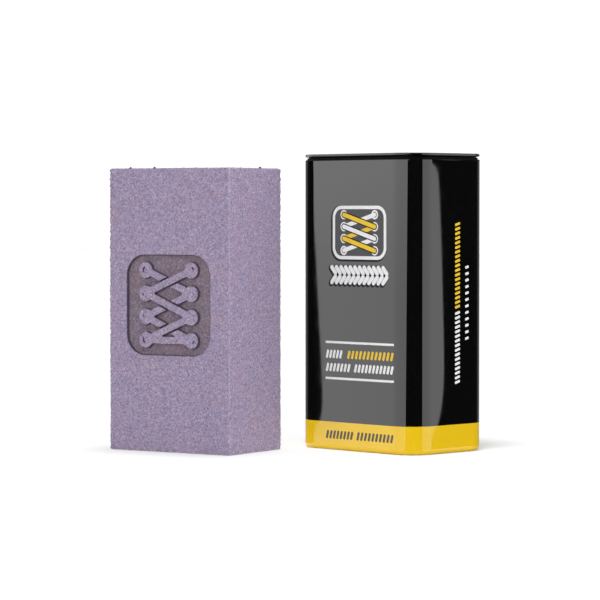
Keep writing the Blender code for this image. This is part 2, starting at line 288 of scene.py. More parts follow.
class EraserTinSizes(bpy.types.PropertyGroup):
    """Sizes of the tin's formed sheet."""

    sheet: metres("Sheet", "Thickness of the tinplate", 0.00025)
    seat_gap: metres("Seat Gap", "Gap between two nested sheets", 0.0003)
    corner_radius: metres("Corner Radius", "Radius of the upright corners", 0.0095)
    corner_steps: IntProperty(
        name="Corner Steps", description="Faces round each upright corner", default=32, min=8)
    foot_radius: metres("Foot Radius", "Radius of the lower edge", 0.0017)
    foot_flange: metres("Foot Flange", "Width of the flat flange under the wall", 0.002)
    shoulder_radius: metres("Shoulder Radius", "Radius of the wall's upper edge", 0.0004)
    front_rise: metres("Front Rise", "How far the front and back panels bulge", 0.000133)
    front_taper: fraction("Front Taper", "Share of the front's bulge that is gone at the top", 0.52)
    front_fade: metres("Front Fade", "Height over which the front's bulge grows above the foot", 0.017)
    side_rise: metres("Side Rise", "How far the side panels bulge", 0.000131)
    side_taper: fraction("Side Taper", "Share of the side's bulge that is gone at the top", 0.62)
    side_fade: metres("Side Fade", "Height over which the side's bulge grows above the foot", 0.032)
    shoulder_fade: metres("Shoulder Fade", "Height over which the bulge fades below the shoulder", 0.005)
    band_height: metres("Band Height", "Height of the coloured band round the foot", 0.01)
    seam_from_side: metres("Seam Place", "Distance of the back seam from the left side", 0.0155)
    seam_width: metres("Seam Width", "Width of the folded seam inside the wall", 0.0035)
    seam_thickness: metres("Seam Thickness", "Thickness of the folded seam", 0.00075)
    crease_width: metres("Crease Width", "Width of the crease that the seam leaves outside", 0.0004)
    crease_depth: metres("Crease Depth", "Depth of the crease that the seam leaves outside", 0.00012)
    floor_step_inset: metres("Floor Step Inset", "Distance of the floor's step from the wall", 0.004)
    floor_step_radius: metres("Floor Step Radius", "Radius of the floor's step", 0.0004)
    rim_height: metres("Rim Height", "Height of the lid's rolled rim", 0.00105)
    rim_round: metres("Rim Round", "Radius of the rim's inner edge", 0.00035)
    panel_drop: metres("Panel Drop", "How far the lid's panel lies below the rim", 0.0008)
    lid_step_inset: metres("Lid Step Inset", "Distance of the lid's step from the wall", 0.006)
    lid_step_height: metres("Lid Step Height", "Height of the lid's step", 0.0006)
    lid_step_radius: metres("Lid Step Radius", "Radius of the lid's step", 0.00015)
    ink: metres("Ink", "Thickness of one layer of printing ink", 0.00002)


class EraserColours(bpy.types.PropertyGroup):
    """Colours of the block, the lacquers and the inks."""

    lilac: hue("Lilac", "Colour of the abrasive crumb", (0.33, 0.271, 0.385))
    clinging_crumb: hue("Clinging Crumb", "Colour of the crumbs on the block's edges", (0.035, 0.03, 0.036))
    lacquer: hue("Lacquer", "Colour of the black lacquer", (0.002, 0.002, 0.0023))
    yellow: hue("Yellow", "Colour of the band and the yellow print", (0.80, 0.52, 0.012))
    white: hue("White", "Colour of the white print", (0.82, 0.82, 0.82))
    grey: hue("Grey", "Colour of the badge's field", (0.06, 0.06, 0.062))
    outline: hue("Outline", "Colour of the outlines behind the badge", (0.004, 0.004, 0.0045))
    brown: hue("Brown", "Colour of the print on the band", (0.075, 0.055, 0.03))
    tinplate: hue("Tinplate", "Colour of the bare tinplate", (0.62, 0.62, 0.60))


class EraserStudio(bpy.types.PropertyGroup):
    """The camera and the light."""

    camera_place: FloatVectorProperty(
        name="Camera Place", description="Where the camera stands",
        default=(0.72733, -0.69886, 0.0852), subtype="TRANSLATION", unit="LENGTH")
    camera_heading: degrees("Camera Heading", "Turn of the camera about the upright axis", 46.0)
    camera_dip: degrees("Camera Dip", "How far the camera looks down", 1.822)
    lens: FloatProperty(name="Lens", description="Focal length in millimetres", default=170.07)
    fill: strength("Fill", "Brightness of the soft light from all round", 0.67)
    key_power: strength("Key Power", "Power of the large lamp in front", 9.0, "POWER")
    side_power: strength("Side Power", "Power of the small lamp beside the block", 0.76, "POWER")
    edge_power: strength("Edge Power", "Power of the small lamp left of the tin", 1.3, "POWER")
    floor_white: fraction("Floor White", "Whiteness of the table", 0.38)
    tin_sun: strength("Tin Sun", "Strength of the sun that lays the tin's shadow on the table", 3.6)
    block_sun: strength("Block Sun", "Strength of the sun that lays the block's shadow on the table", 2.8)


def select_only(*pieces):
    """Leaves some pieces selected and the first of them active."""
    bpy.ops.object.select_all(action="DESELECT")
    for piece in pieces:
        piece.select_set(True)
    if pieces:
        bpy.context.view_layer.objects.active = pieces[0]


def settle(piece):
    """Puts the piece's place, turn and scale into its mesh."""
    select_only(piece)
    bpy.ops.object.transform_apply(location=True, rotation=True, scale=True)
    return piece


def name_piece(piece, name):
    piece.name = name
    piece.data.name = name
    return piece


def join(parts, name):
    """Joins separate meshes into one piece."""
    select_only(*parts)
    if len(parts) > 1:
        bpy.ops.object.join()
    return name_piece(bpy.context.object, name)


def start_box(name, low, high):
    """A box between two corners, to be shaped further."""
    select_only()
    bpy.ops.mesh.primitive_cube_add(size=1.0, location=(low + high) / 2, scale=high - low)
    return settle(name_piece(bpy.context.object, name))


def edit(piece):
    select_only(piece)
    bpy.ops.object.mode_set(mode="EDIT")


def leave_edit():
    bpy.ops.object.mode_set(mode="OBJECT")


def choose(piece, kind, wanted):
    """Selects the faces, edges or points of a piece in edit mode that pass a test."""
    bpy.ops.mesh.select_mode(type=kind)
    bpy.ops.mesh.select_all(action="DESELECT")
    shape = bmesh.from_edit_mesh(piece.data)
    parts = {"FACE": shape.faces, "EDGE": shape.edges, "VERT": shape.verts}[kind]
    chosen = [part for part in parts if wanted(part)]
    if not chosen:
        raise RuntimeError("Nothing to select on " + piece.name)
    for part in chosen:
        part.select_set(True)
    shape.select_flush_mode()
    bmesh.update_edit_mesh(piece.data)


def merge_doubles():
    bpy.ops.mesh.select_all(action="SELECT")
    bpy.ops.mesh.remove_doubles(threshold=SAME_PLACE)


def slice_piece(axis, levels):
    """Cuts new edges through all faces of the piece in edit mode, at levels along an axis from 0 to 2."""
    direction = Vector([1.0 if axis == other else 0.0 for other in range(3)])
    for level in levels:
        bpy.ops.mesh.select_all(action="SELECT")
        bpy.ops.mesh.bisect(plane_co=direction * level, plane_no=direction, use_fill=False)


def crowded_levels(low, high, count):
    """Levels between two places that lie closer together near both ends."""
    middle = (low + high) / 2
    half = (high - low) / 2
    return [middle - half * math.cos(math.pi * step / count) for step in range(1, count)]


def even_levels(low, high, spacing):
    """Levels between two places, no further apart than a spacing."""
    count = max(1, math.ceil((high - low) / spacing))
    return [low + (high - low) * step / count for step in range(1, count)]


def bend(centre, radius, start, end):
    """Points of a bend in a section, as (inset, height), between two angles in degrees."""
    angles = [math.radians(start + (end - start) * step / BEND_STEPS) for step in range(BEND_STEPS + 1)]
    return [(centre[0] + radius * math.cos(angle), centre[1] + radius * math.sin(angle)) for angle in angles]


def rising_step(inset, low, high, first, second):
    """A step in a panel, walked inwards and up: a bend of one radius, then a bend of another."""
    return bend((inset[0], low + first), first, 270, 360) + bend((inset[1], high - second), second, 180, 90)


def rounded_slab(name, inset, low, high):
    """A slab with the tin's outline, drawn in by an inset, between two heights."""
    sizes = bpy.context.scene.eraser_tin_sizes
    low_corner = Vector((WALL_LOW.x + inset, WALL_LOW.y + inset, low))
    high_corner = Vector((WALL_HIGH.x - inset, WALL_HIGH.y - inset, high))
    slab = start_box(name, low_corner, high_corner)
    edit(slab)
    choose(slab, "EDGE", lambda edge: abs(edge.verts[0].co.z - edge.verts[1].co.z) > SAME_PLACE)
    bpy.ops.mesh.bevel(offset=sizes.corner_radius - inset, segments=sizes.corner_steps, affect="EDGES")
    leave_edit()
    return slab


def draw_face(slab, upwards, section):
    """Carries a slab's top or bottom cap inwards along a section of (inset, height) points."""
    edit(slab)
    choose(slab, "FACE", lambda face: len(face.verts) > 4 and (face.normal.z > 0) == upwards)
    for (inset, height), (next_inset, next_height) in zip(section, section[1:]):
        inwards = max(0.0, next_inset - inset)
        outwards = next_height - height if upwards else height - next_height
        if inwards < SAME_PLACE and abs(outwards) < SAME_PLACE:
            continue
        bpy.ops.mesh.inset(thickness=inwards, depth=outwards, use_even_offset=True)
    leave_edit()


def open_caps(slab):
    """Removes the faces that close a slab, in edit mode."""
    choose(slab, "FACE", lambda face: len(face.verts) > 4)
    bpy.ops.mesh.delete(type="FACE")


def give_finishes(piece, *names):
    piece.data.materials.clear()
    for name in names:
        piece.data.materials.append(finish_of(name))


def paint(piece, number, wanted):
    """Gives the faces that pass a test the material of that number."""
    edit(piece)
    choose(piece, "FACE", wanted)
    piece.active_material_index = number
    bpy.ops.object.material_slot_assign()
    leave_edit()


def apply_modifier(piece, kind, **settings):
    """Adds a modifier with its settings and applies it."""
    select_only(piece)
    modifier = piece.modifiers.new(kind.title(), kind)
    for name, value in settings.items():
        setattr(modifier, name, value)
    bpy.ops.object.modifier_apply(modifier=modifier.name)


def roughen(piece, name, kind, size, **settings):
    """Raises a pattern of a size on the piece's surface."""
    pattern = bpy.data.textures.new(name, kind)
    pattern.noise_scale = size
    apply_modifier(piece, "DISPLACE", texture=pattern, texture_coords="LOCAL", **settings)


def smooth(piece, angle=SMOOTH_ANGLE):
    select_only(piece)
    bpy.ops.object.shade_smooth_by_angle(angle=angle)


def within(value):
    """Keeps a value between 0 and 1."""
    return max(0.0, min(1.0, value))


def weigh(piece, name, weight):
    """Fills a vertex group with a weight worked out from each point's place."""
    group = piece.vertex_groups.new(name=name)
    for point in piece.data.vertices:
        group.add([point.index], within(weight(point.co)), "REPLACE")


def mark_points(piece, name, value):
    """Keeps a value worked out from each point's place, for the piece's material to read."""
    attribute = piece.data.attributes.new(name, "FLOAT", "POINT")
    for point in piece.data.vertices:
        attribute.data[point.index].value = within(value(point.co))


def dress(piece, body, node=None):
    """Hangs the piece under the empty of the body that carries it, and hides the frame's node that it stands
    for.
    """
    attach(piece, body)
    if node:
        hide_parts(node)


def add_node(tree, kind, values=None, **settings):
    node = tree.nodes.new(kind)
    for name, value in settings.items():
        setattr(node, name, value)
    for name, value in (values or {}).items():
        node.inputs[name].default_value = value
    return node


def feed(tree, socket, value):
    """Gives a socket a plain value, or links it to another socket."""
    if isinstance(value, bpy.types.NodeSocket):
        tree.links.new(value, socket)
    else:
        socket.default_value = value


def chosen_colour(name):
    return tuple(getattr(bpy.context.scene.eraser_colours, name))


def new_material(name, colour, roughness, metallic=0.0, specular=0.5):
    """A material with a plain surface shader, and the place on the piece that its patterns read."""
    material = bpy.data.materials.new(name)
    material.use_nodes = True
    material.diffuse_color = (*colour, 1.0)
    tree = material.node_tree
    surface = tree.nodes["Principled BSDF"]
    surface.inputs["Base Color"].default_value = (*colour, 1.0)
    surface.inputs["Roughness"].default_value = roughness
    surface.inputs["Metallic"].default_value = metallic
    surface.inputs["Specular IOR Level"].default_value = specular
    surface.inputs["IOR"].default_value = 1.5
    place = add_node(tree, "ShaderNodeTexCoord").outputs["Object"]
    return material, tree, surface, place


def noise(tree, place, scale, detail=2.0, roughness=0.5):
    node = add_node(tree, "ShaderNodeTexNoise", {"Scale": scale, "Detail": detail, "Roughness": roughness})
    feed(tree, node.inputs["Vector"], place)
    return node.outputs["Fac"]


def spread(tree, value, low, high, start=0.0, end=1.0, soft=False):
    """Maps a value between start and end to a value between low and high."""
    values = {"From Min": start, "From Max": end, "To Min": low, "To Max": high}
    kind = "SMOOTHSTEP" if soft else "LINEAR"
    node = add_node(tree, "ShaderNodeMapRange", values, interpolation_type=kind)
    feed(tree, node.inputs["Value"], value)
    return node.outputs["Result"]


def patches(tree, place, scale, detail, low=0.0, high=1.0, start=0.3):
    """A value that wanders between low and high in patches."""
    return spread(tree, noise(tree, place, scale, detail), low, high, start, 1.0 - start)


def maths(tree, operation, *values):
    node = add_node(tree, "ShaderNodeMath", operation=operation)
    for socket, value in zip(node.inputs, values):
        feed(tree, socket, value)
    return node.outputs["Value"]


def mix_colour(tree, factor, first, second, blend="MIX"):
    """Mixes two colours, each a plain colour or a socket, by a factor."""
    node = add_node(tree, "ShaderNodeMix", data_type="RGBA", blend_type=blend)
    feed(tree, node.inputs[0], factor)
    for socket, value in ((node.inputs[6], first), (node.inputs[7], second)):
        feed(tree, socket, (*value, 1.0) if isinstance(value, tuple) else value)
    return node.outputs[2]


def bump(tree, surface, height, depth, strength=1.0):
    """Raises the surface by a height pattern, over a depth in metres."""
    node = add_node(tree, "ShaderNodeBump", {"Strength": strength, "Distance": depth})
    feed(tree, node.inputs["Height"], height)
    feed(tree, surface.inputs["Normal"], node.outputs["Normal"])


def tinted(colour, share):
    return tuple(min(1.0, channel * share) for channel in colour)


def crumb_grains(tree, place, scale):
    """Grains of one size: the tone of each in three channels, and the distance from its middle."""
    grain = add_node(tree, "ShaderNodeTexVoronoi", {"Scale": scale})
    feed(tree, grain.inputs["Vector"], place)
    tone = add_node(tree, "ShaderNodeSeparateColor")
    feed(tree, tone.inputs["Color"], grain.outputs["Color"])
    return tone.outputs, grain.outputs["Distance"]


def point_value(tree, name):
    """A value that mark_points kept on the piece."""
    return add_node(tree, "ShaderNodeAttribute", attribute_name=name).outputs["Fac"]


def crumb_material():
    """Bonded abrasive crumb: mottled lilac with pale and dark grains, paler specks of wear and painted
    highlight on the edges, and greyer with painted shade where the badge is sunk, darkest on its walls.
    """
    lilac = chosen_colour("lilac")
    material, tree, surface, place = new_material("lilac_crumb", lilac, 0.93, specular=0.25)
    bluish = (lilac[0] * 0.96, lilac[1] * 0.985, lilac[2] * 1.02)
    pinkish = (lilac[0] * 1.04, lilac[1] * 1.0, lilac[2] * 0.985)
    colour = mix_colour(tree, patches(tree, place, 150.0, 3.0, start=0.35), bluish, pinkish)

    tone, distance = crumb_grains(tree, place, CRUMB_GRAINS)
    lightness = spread(tree, tone["Red"], *CRUMB_TONES)
    lightness = maths(tree, "MULTIPLY", lightness, patches(tree, place, FINE_GRAINS, 2.0, *FINE_TONES))
    grey = add_node(tree, "ShaderNodeCombineColor")
    for channel in ("Red", "Green", "Blue"):
        feed(tree, grey.inputs[channel], lightness)
    colour = mix_colour(tree, 1.0, colour, grey.outputs["Color"], "MULTIPLY")

    specks = crumb_grains(tree, place, SPECK_GRAINS)[0]
    for channel, cover, start, end, lightness in SPECKS:
        speck = spread(tree, specks[channel], 0.0, cover, start, end)
        colour = mix_colour(tree, speck, colour, tinted(lilac, lightness))
    # Pale specks along the edges: rubbed wear plus a painted highlight on the rounded edges
    worn = spread(tree, point_value(tree, "worn"), 0.0, 1.0, 0.45, 0.9)
    rubbed = maths(tree, "MULTIPLY", worn, spread(tree, specks["Red"], 0.15, 0.9, 0.3, 0.8))
    colour = mix_colour(tree, rubbed, colour, tinted(lilac, WORN_AND_HIGHLIGHT_LIGHTNESS))
    # The sunk badge's floor: greyer pressed skin plus painted shade from the recess
    sunk = point_value(tree, "sunk")
    colour = mix_colour(tree, spread(tree, sunk, 0.0, 1.0, 0.4, 0.9), colour, PRESSED_TINT_AND_SHADE, "MULTIPLY")
    # Painted shade: the sunk badge's upright walls are darkened as if the recess shaded them
    upright = spread(tree, sunk, 0.0, 0.8, 0.08, 0.35)
    upright = maths(tree, "MULTIPLY", upright, spread(tree, sunk, 1.0, 0.0, 0.85, 1.0))
    colour = mix_colour(tree, upright, colour, tinted(lilac, UPRIGHT_SHADE_LIGHTNESS))
    feed(tree, surface.inputs["Base Color"], colour)

    hollow = maths(tree, "MULTIPLY", distance, -1.0)
    bump(tree, surface, maths(tree, "ADD", hollow, noise(tree, place, 3200.0, 3.0)), 0.00022, 0.8)
    return material


def coat(name, colour, roughness, gloss=0.5, tones=None, polish=None, grain=None, start=0.3):
    """A finish whose colour and polish wander in patches, over a raised grain.

    Tones and polish are (patches in a metre, detail, lowest, highest), and grain is
    (grains in a metre, detail, depth in metres). The start is the noise at which the tones set in.
    """
    material, tree, surface, place = new_material(name, colour, roughness, specular=gloss)
    if tones:
        scale, detail, lowest, highest = tones
        cover = patches(tree, place, scale, detail, start=start)
        mottled = mix_colour(tree, cover, tinted(colour, lowest), tinted(colour, highest))
        feed(tree, surface.inputs["Base Color"], mottled)
    if polish:
        feed(tree, surface.inputs["Roughness"], patches(tree, place, *polish))
    if grain:
        scale, detail, depth = grain
        bump(tree, surface, noise(tree, place, scale, detail), depth)
    return material


def clinging_crumb_material():
    """Dark, dusty crumb that clings to the block's edges."""
    return coat("dark_crumb", chosen_colour("clinging_crumb"), 0.95, 0.1, start=0.35,
                tones=(4000.0, 3.0, 0.6, 2.2), grain=(6000.0, 2.0, 0.00005))


def lacquer_material():
    """Glossy black lacquer with a faint waviness and a little uneven polish."""
    return coat("black_lacquer_gloss", chosen_colour("lacquer"), 0.02,
                polish=(260.0, 4.0, 0.012, 0.026), grain=(75.0, 1.0, 0.0000007))


def dull_lacquer_material():
    """Lacquer rubbed dull where the lid and the neck slide past each other."""
    return coat("black_lacquer_dull", chosen_colour("lacquer"), 0.55, 0.04,
                polish=(700.0, 3.0, 0.45, 0.7), grain=(900.0, 2.0, 0.000004))


def enamel_material():
    """The yellow band's enamel, slightly uneven in colour and rubbed dull where the foot rolls in."""
    yellow = chosen_colour("yellow")
    foot = bpy.context.scene.eraser_tin_sizes.foot_radius
    material, tree, surface, place = new_material("yellow_enamel", yellow, 0.06, specular=0.3)
    uneven = patches(tree, place, 90.0, 3.0)
    feed(tree, surface.inputs["Base Color"],
         mix_colour(tree, uneven, tinted(yellow, 0.985), tinted(yellow, 1.015)))
    parts = add_node(tree, "ShaderNodeSeparateXYZ")
    feed(tree, parts.inputs["Vector"], place)
    rubbed = spread(tree, parts.outputs["Z"], 0.5, 0.0, foot * 0.7, foot * 1.1, True)
    polish = patches(tree, place, 260.0, 4.0, 0.02, 0.045)
    feed(tree, surface.inputs["Roughness"], maths(tree, "ADD", polish, rubbed))
    bump(tree, surface, noise(tree, place, 75.0, 1.0), 0.000001)
    return material


def tinplate_material():
    """Bright rolled tinplate with its grain running up the sheet and a few cloudy patches."""
    tinplate = chosen_colour("tinplate")
    material, tree, surface, place = new_material("rolled_tinplate", tinplate, 0.3, metallic=1.0)
    rolled = add_node(tree, "ShaderNodeMapping", {"Scale": (1.0, 1.0, 0.03)})
    feed(tree, rolled.inputs["Vector"], place)
    grain = noise(tree, rolled.outputs["Vector"], 2200.0, 4.0, 0.6)
    clouds = patches(tree, place, 130.0, 3.0)
    feed(tree, surface.inputs["Base Color"],
         mix_colour(tree, clouds, tinted(tinplate, 0.9), tinted(tinplate, 1.06)))
    feed(tree, surface.inputs["Roughness"], spread(tree, grain, 0.22, 0.38, 0.3, 0.7))
    bump(tree, surface, grain, 0.000012)
    return material


def table_material():
    """The white table, with a hardly visible grain."""
    white = bpy.context.scene.eraser_studio.floor_white
    return coat("white_table", (white,) * 3, 1.0, 0.0, start=0.0, tones=(40.0, 2.0, 0.995, 1.0))


def ink_material(name):
    """Screen-printed ink with a fine uneven cover."""
    roughness, gloss = INKS[name]
    return coat(name + "_ink", chosen_colour(name), roughness, gloss, tones=(1400.0, 3.0, 0.95, 1.03),
                polish=(1400.0, 3.0, roughness - 0.05, roughness + 0.06), grain=(1800.0, 2.0, 0.000004))


FINISHES = {
    "crumb": crumb_material,
    "clinging_crumb": clinging_crumb_material,
    "lacquer": lacquer_material,
    "dull_lacquer": dull_lacquer_material,
    "enamel": enamel_material,
    "tinplate": tinplate_material,
    "table": table_material,
}
MADE = {}


def finish_of(name):
    """The material of that name, made the first time that it is asked for."""
    if name not in MADE:
        MADE[name] = ink_material(name) if name in INKS else FINISHES[name]()
    return MADE[name]


def block_turn():
    """Carries the turned block from its place to its own straight axes about its middle."""
    turn = bpy.context.scene.eraser_block_sizes.turn
    return Matrix.Rotation(-turn, 4, "Z") @ Matrix.Translation(-BLOCK_MIDDLE)


def stand_block(piece):
    """Carries a piece from the block's own straight axes to the block's place."""
    piece.matrix_world = block_turn().inverted()
    settle(piece)


def near_edge(place, sizes):
    """From 0 on the block's faces to 1 on its edges."""
    half = Vector((sizes.width / 2, sizes.depth / 2, BLOCK_HALF_HEIGHT))
    depths = sorted(half[axis] - abs(place[axis]) for axis in range(3))
    return 1.0 - depths[1] / sizes.edge_reach


def at_badge(place, sizes):
    """True for a point on the block's front, where the badge is."""
    across = abs(place.x - SUNK_BADGE_PLACE.x) < SUNK_BADGE_REACH.x
    up = abs(place.z - SUNK_BADGE_PLACE.y) < SUNK_BADGE_REACH.y
    return across and up and place.y < 2 * sizes.badge_depth - sizes.depth / 2


def squared_box(sizes):
    """The block's full size with sharper edges, hollowed in front so that the badge stays open."""
    half = Vector((sizes.width, sizes.depth, BLOCK_HIGH.z - BLOCK_LOW.z)) / 2
    box = start_box("squared_box", -half, half)
    edit(box)
    choose(box, "EDGE", lambda edge: True)
    bpy.ops.mesh.bevel(offset=sizes.edge_radius, segments=EDGE_STEPS, affect="EDGES")
    choose(box, "FACE", lambda face: face.normal.y < FACES_FRONT and face.calc_area() > sizes.width ** 2)
    bpy.ops.mesh.inset(thickness=FRONT_MARGIN, depth=0.0)
    bpy.ops.mesh.inset(thickness=FRONT_HOLLOW / 2, depth=-FRONT_HOLLOW)
    leave_edit()
    return box


class ERASER_OT_block(bpy.types.Operator):
    """Model the abrasive block with its grain, its chipped edges and its sunk badge"""

    bl_idname = "eraser.block"
    bl_label = "Abrasive Block"

    def execute(self, context):
        sizes = context.scene.eraser_block_sizes
        piece = bpy.data.objects.new("crumb_block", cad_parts["eraser_block"].data.copy())
        context.scene.collection.objects.link(piece)
        edit(piece)
        merge_doubles()
        leave_edit()
        piece.matrix_world = block_turn()
        settle(piece)
        piece = join([piece, squared_box(sizes)], "crumb_block")
        apply_modifier(piece, "REMESH", mode="VOXEL", voxel_size=sizes.mesh_size, use_smooth_shade=True)

        def depth_at(place):
            return (place.y + sizes.depth / 2) / sizes.badge_depth if at_badge(place, sizes) else 0.0

        # Depth in the sunk badge, which sets its pressed tint and the painted shade on its floor and walls
        mark_points(piece, "sunk", depth_at)
        # Nearness to an edge, for the rubbed wear and the painted highlight along the edges
        mark_points(piece, "worn", lambda place: near_edge(place, sizes))
        weigh(piece, "edges", lambda place: near_edge(place, sizes))
        weigh(piece, "plain", lambda place: 0.0 if at_badge(place, sizes) else 1.0)
        roughen(piece, "crumb_grain", "VORONOI", sizes.grain_size, strength=sizes.grain_depth,
                mid_level=GRAIN_MIDDLE)
        roughen(piece, "crumb_chips", "CLOUDS", sizes.grain_size, strength=sizes.edge_wear,
                mid_level=CHIP_MIDDLE, vertex_group="edges")
        apply_modifier(piece, "DECIMATE", ratio=sizes.mesh_kept, vertex_group="plain")
        piece.vertex_groups.clear()
        edit(piece)
        choose(piece, "VERT", lambda point: point.co.z < -BLOCK_HALF_HEIGHT)
        bpy.ops.transform.resize(value=(1.0, 1.0, 0.0), center_override=(0.0, 0.0, -BLOCK_HALF_HEIGHT))
        leave_edit()
        stand_block(piece)
        give_finishes(piece, "crumb")
        select_only(piece)
        bpy.ops.object.shade_smooth()
        dress(piece, "block", "eraser_block")
        return {"FINISHED"}


class ERASER_OT_crumbs(bpy.types.Operator):
    """Put a few dark crumbs on the block's upper edges"""

    bl_idname = "eraser.crumbs"
    bl_label = "Loose Crumbs"

    def execute(self, context):
        sizes = context.scene.eraser_block_sizes
        chance = random.Random(CRUMB_SEED)
        made = []
        for share, side in CRUMB_PLACES:
            size = chance.uniform(*CRUMB_SIZES)
            x, y = sizes.width / 2 - CRUMB_INSET, share * sizes.depth / 2
            if side == "front":
                x, y = share * sizes.width / 2, CRUMB_INSET - sizes.depth / 2
            place = (x, y, BLOCK_HALF_HEIGHT + size * CRUMB_LIFT)
            select_only()
            bpy.ops.mesh.primitive_ico_sphere_add(subdivisions=3, radius=size, location=place)
            crumb = bpy.context.object
            crumb.rotation_euler = [chance.uniform(0, math.pi) for axis in range(3)]
            crumb.scale = [chance.uniform(*CRUMB_STRETCH) for axis in range(3)]
            settle(crumb)
            roughen(crumb, "crumb_lumps", "CLOUDS", size, strength=size * CRUMB_LUMPS)
            made.append(crumb)
        piece = join(made, "loose_crumbs")
        stand_block(piece)
        give_finishes(piece, "clinging_crumb")
        smooth(piece)
        dress(piece, "block")
        return {"FINISHED"}


def eased(share):
    """Grows from 0 to 1 and levels off there."""
    return math.sin(math.pi / 2 * min(1.0, share))


def panel_rise(place, sizes):
    """How far a point of the wall stands proud of the flat panel that it is on, in metres."""
    across = abs(place.x - TIN_MIDDLE.x)
    along = abs(place.y - TIN_MIDDLE.y)
    above_foot = max(0.0, place.z - sizes.foot_radius)
    below_shoulder = max(0.0, WALL_HIGH.z - sizes.shoulder_radius - place.z)
    if along > TIN_HALF.y - NEAR_PLACE:
        rise = sizes.front_rise * (1.0 - sizes.front_taper * place.z / WALL_HIGH.z)
        share = across / (TIN_HALF.x - sizes.corner_radius)
        fade = math.sqrt(eased(above_foot / sizes.front_fade))
    elif across > TIN_HALF.x - NEAR_PLACE:
        rise = sizes.side_rise * (1.0 - sizes.side_taper * place.z / WALL_HIGH.z)
        share = along / (TIN_HALF.y - sizes.corner_radius)
        fade = eased(above_foot / sizes.side_fade)
    else:
        return 0.0
    fade *= math.sqrt(eased(below_shoulder / sizes.shoulder_fade))
    return rise * max(0.0, 1.0 - share * share) * fade


class ERASER_OT_wall(bpy.types.Operator):
    """Form the tin's wall: foot, bulged panels, shoulder, seam crease, lacquer outside and tinplate inside"""

    bl_idname = "eraser.wall"
    bl_label = "Tin Wall"

    def execute(self, context):
        sizes = context.scene.eraser_tin_sizes
        foot = sizes.foot_radius
        shoulder = sizes.shoulder_radius
        top = WALL_HIGH.z
        wall = rounded_slab("lacquered_wall", 0.0, foot, top - shoulder)
        draw_face(wall, False, bend((foot, foot), foot, 180, 270) + [(foot + sizes.foot_flange, 0.0)])
        draw_face(wall, True, bend((shoulder, top - shoulder), shoulder, 180, 90))
        edit(wall)
        open_caps(wall)
        flat_x = TIN_HALF.x - sizes.corner_radius
        flat_y = TIN_HALF.y - sizes.corner_radius
        seam = WALL_LOW.x + sizes.seam_from_side
        slice_piece(0, crowded_levels(TIN_MIDDLE.x - flat_x, TIN_MIDDLE.x + flat_x, PANEL_SLICES_ACROSS))
        slice_piece(0, (seam - sizes.crease_width / 2, seam, seam + sizes.crease_width / 2))
        slice_piece(1, crowded_levels(TIN_MIDDLE.y - flat_y, TIN_MIDDLE.y + flat_y, PANEL_SLICES_ACROSS))
        slice_piece(2, crowded_levels(foot, top - shoulder, PANEL_SLICES_UP) + [sizes.band_height])
        leave_edit()

        most = max(sizes.front_rise, sizes.side_rise)
        weigh(wall, "rise", lambda place: panel_rise(place, sizes) / most)
        apply_modifier(wall, "DISPLACE", vertex_group="rise", strength=most, mid_level=0.0)
        wall.vertex_groups.clear()

        edit(wall)
        choose(wall, "VERT", lambda point: abs(point.co.x - seam) < NEAR_PLACE
               and point.co.y > TIN_MIDDLE.y + flat_y and foot <= point.co.z <= top - shoulder)
        bpy.ops.transform.translate(value=(0, -sizes.crease_depth, 0))
        leave_edit()

        give_finishes(wall, "lacquer", "enamel", "tinplate")
        paint(wall, 1, lambda face: face.calc_center_median().z < sizes.band_height)
        apply_modifier(wall, "SOLIDIFY", thickness=sizes.sheet, offset=-1.0, use_even_offset=True,
                       material_offset=2)
        wall.data.materials.append(finish_of("dull_lacquer"))
        turned_in = top - shoulder * SHOULDER_RUBBED
        paint(wall, 3, lambda face: face.normal.z > FACES_UP and face.calc_center_median().z > turned_in)
        smooth(wall)
        dress(wall, "tin", "tin_wall")
        return {"FINISHED"}


class ERASER_OT_seam(bpy.types.Operator):
    """Fold the lock seam that runs up the inside of the back wall"""

    bl_idname = "eraser.seam"
    bl_label = "Lock Seam"

    def execute(self, context):
        sizes = context.scene.eraser_tin_sizes
        width = sizes.seam_width
        thickness = sizes.seam_thickness
        seam = WALL_LOW.x + sizes.seam_from_side
        inner_face = WALL_HIGH.y - sizes.sheet
        low = Vector((seam - width / 2, inner_face - thickness, PAN_HIGH.z + SEAM_END_ROOM))
        high = Vector((seam + width / 2, inner_face + sizes.sheet / 2, NECK_LOW.z - SEAM_END_ROOM))
        fold = start_box("seam_fold", low, high)
        edit(fold)
        choose(fold, "EDGE", lambda edge: edge.verts[0].co.y < inner_face
               and abs(edge.verts[0].co.z - edge.verts[1].co.z) > SEAM_END_ROOM)
        bpy.ops.mesh.bevel(offset=thickness * SEAM_ROUNDING, segments=ROUNDING_STEPS, affect="EDGES")
        choose(fold, "FACE", lambda face: face.normal.y < FACES_FRONT and face.calc_area() > width ** 2)
        bpy.ops.mesh.inset(thickness=width * SEAM_RIB_INSET, depth=0.0)
        bpy.ops.mesh.inset(thickness=sizes.sheet / 4, depth=-sizes.sheet / 4)
        leave_edit()
        give_finishes(fold, "tinplate")
        smooth(fold)
        dress(fold, "tin")
        return {"FINISHED"}


